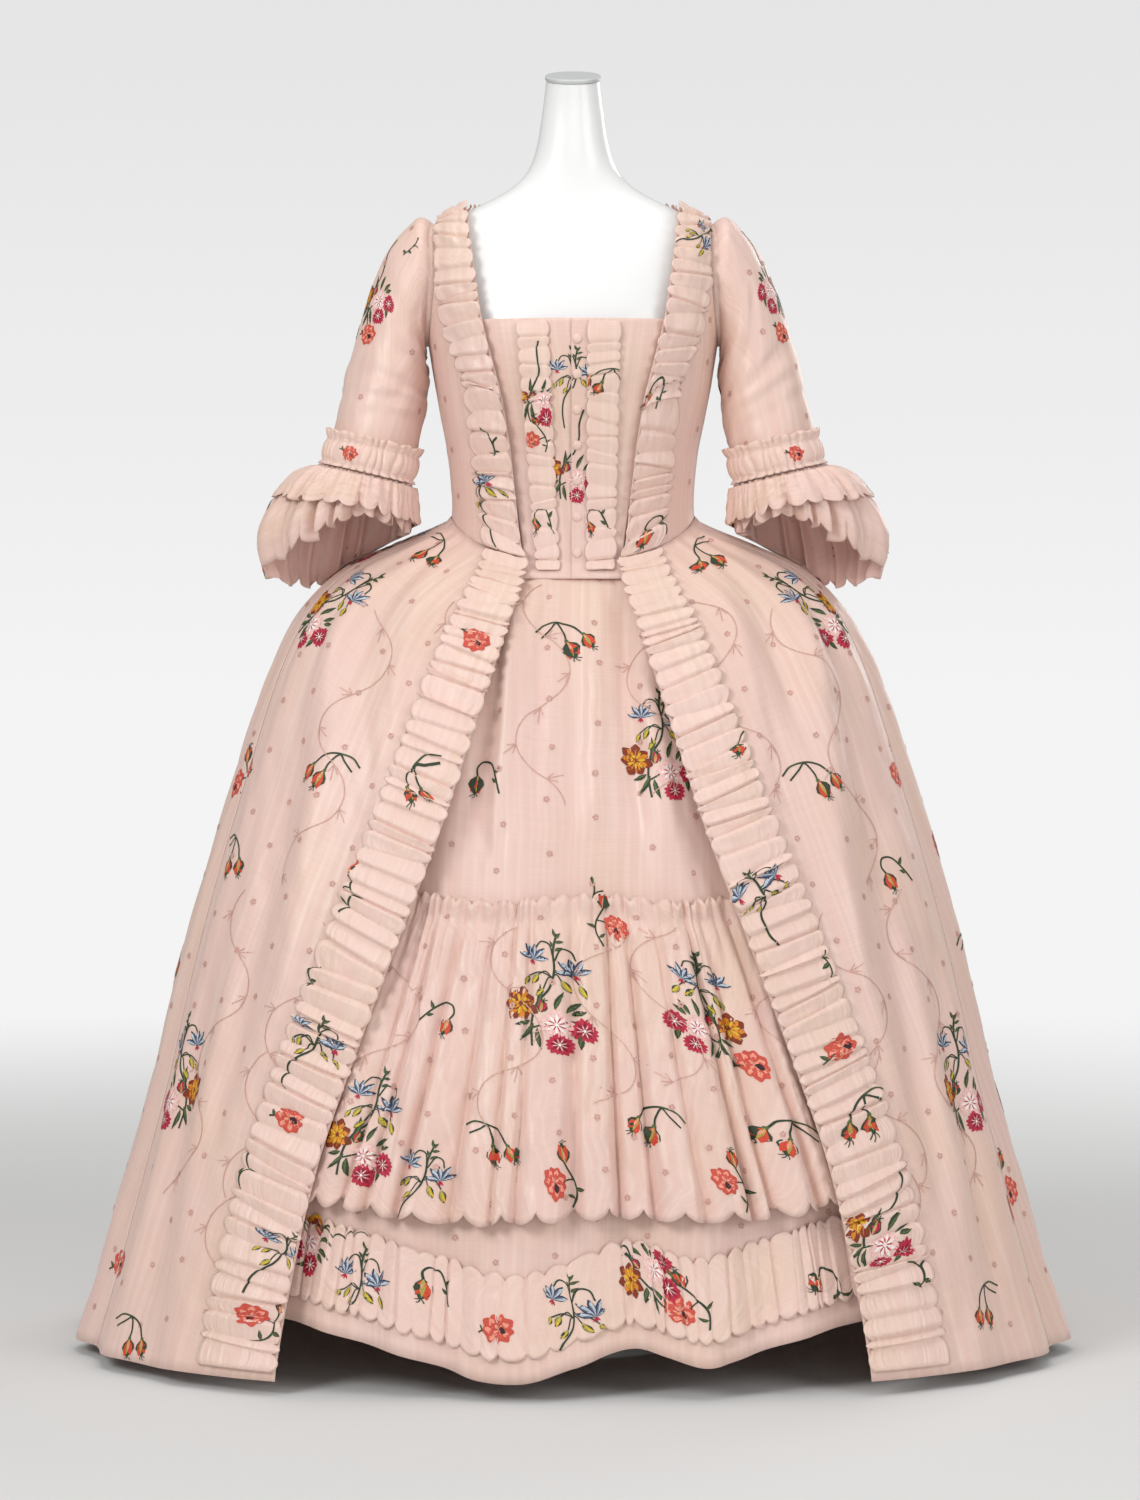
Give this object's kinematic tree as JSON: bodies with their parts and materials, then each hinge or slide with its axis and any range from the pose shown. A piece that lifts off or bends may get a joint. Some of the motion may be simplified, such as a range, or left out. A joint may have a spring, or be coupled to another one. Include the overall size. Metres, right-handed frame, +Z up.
{
  "type": "sack-back gown on a dress form",
  "caption": "Open silk gown with a pleated sack back over a flounced petticoat and buttoned front, gathered trims and elbow ruffles, on a limbless dress form.",
  "frame": {"origin": "on the floor, at the middle of the underside of the form's round base", "axes": "+Z up along the pole; -Y towards the front of the gown; +X towards the wearer's left"},
  "size_m": [1.1218, 1.0248, 1.4403],
  "materials": {
    "silk": "soft sheen",
    "enamel": "smooth, satin",
    "steel": "satin"
  },
  "bodies": {
    "root": {"back_neck_trim": "silk", "bodice_front_left": "silk", "bodice_front_right": "silk", "bodice_side_back_left": "silk", "bodice_side_back_right": "silk", "bodice_trim_left": "silk", "bodice_trim_right": "silk", "button_1": "silk", "button_2": "silk", "button_3": "silk", "button_4": "silk", "button_5": "silk", "button_6": "silk", "button_7": "silk", "buttoned_front_over": "silk", "buttoned_front_under": "silk", "cuff_left": "silk", "cuff_right": "silk", "flounce_lower_left": "silk", "flounce_lower_right": "silk", "flounce_upper_left": "silk", "flounce_upper_right": "silk", "form_base": "steel", "form_neck_cap": "steel", "form_pole": "steel", "form_torso": "enamel", "narrow_trim_left": "silk", "narrow_trim_right": "silk", "petticoat_back": "silk", "petticoat_band": "silk", "petticoat_flounce": "silk", "petticoat_front": "silk", "sack_back": "silk", "skirt_front_left": "silk", "skirt_front_right": "silk", "skirt_side_left": "silk", "skirt_side_right": "silk", "skirt_trim_left": "silk", "skirt_trim_right": "silk", "sleeve_left": "silk", "sleeve_right": "silk"}
  },
  "joints": []
}
